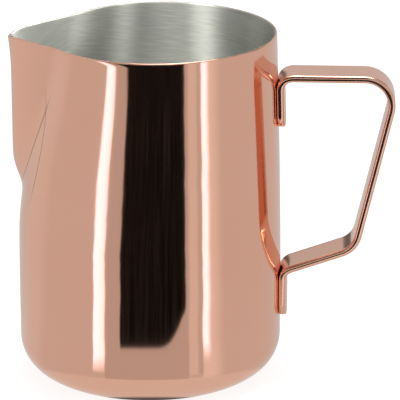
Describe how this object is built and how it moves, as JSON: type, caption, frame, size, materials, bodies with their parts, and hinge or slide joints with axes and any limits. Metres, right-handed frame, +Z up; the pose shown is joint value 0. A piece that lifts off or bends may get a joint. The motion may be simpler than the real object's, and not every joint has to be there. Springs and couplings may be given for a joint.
{
  "type": "milk frothing jug",
  "caption": "drawn steel milk frothing jug with a pressed V spout, copper plated outside, brushed inside, with a bent strap handle spot welded to the wall",
  "frame": {"origin": "on the body's axis, at the plane of the foot that the jug stands on", "axes": "+Z up, -X towards the spout, +X towards the handle, +Y to the left of the handle seen from the spout"},
  "size_m": [0.1248, 0.086, 0.114],
  "materials": {
    "copper_plate": "polished",
    "copper_plated_strap": "polished",
    "bare_steel": "satin"
  },
  "bodies": {
    "root": {"jug_body": "copper_plate", "handle": "copper_plated_strap", "upper_spot_welds": "bare_steel", "lower_spot_welds": "bare_steel"}
  },
  "joints": []
}
